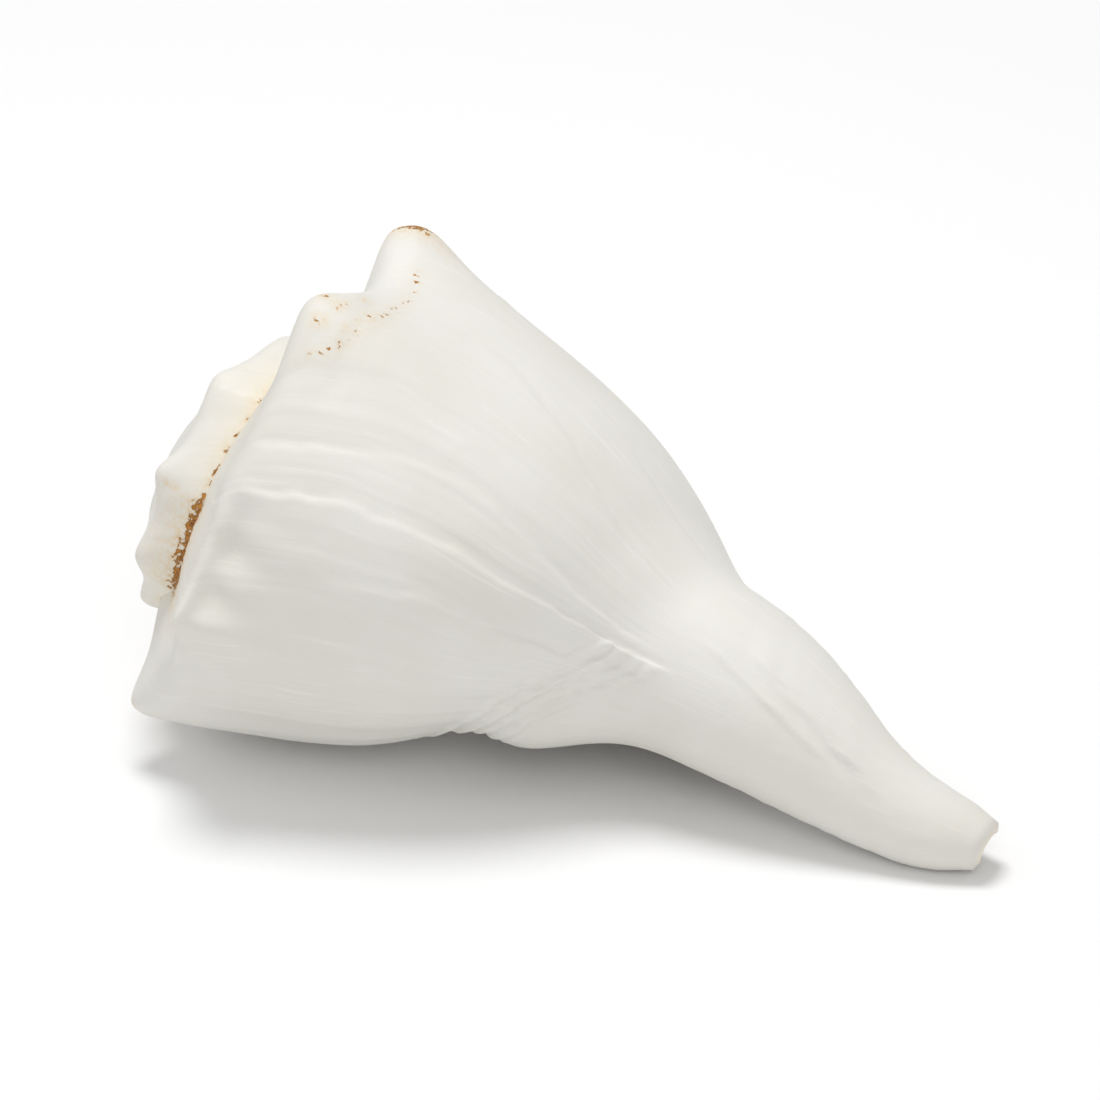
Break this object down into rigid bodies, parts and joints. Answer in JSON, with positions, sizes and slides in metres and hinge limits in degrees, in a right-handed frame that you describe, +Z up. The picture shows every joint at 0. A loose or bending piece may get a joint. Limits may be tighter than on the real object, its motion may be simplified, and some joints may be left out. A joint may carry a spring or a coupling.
{
  "type": "sea shell",
  "caption": "Bleached, worn knobbed whelk shell with a low spire, a knobbed shoulder, a wide body whorl and a long open canal, lying on its opening.",
  "frame": {"origin": "centre of the bounding box, on the plane that the shell lies on", "axes": "+X along the shell from the spire to the canal tip, +Z up, with the shell lying on its opening"},
  "size_m": [0.1754, 0.1148, 0.0969],
  "materials": {
    "shell": "chalky, satin, bleached calcium carbonate"
  },
  "bodies": {
    "root": {"shell": "shell"}
  },
  "joints": []
}
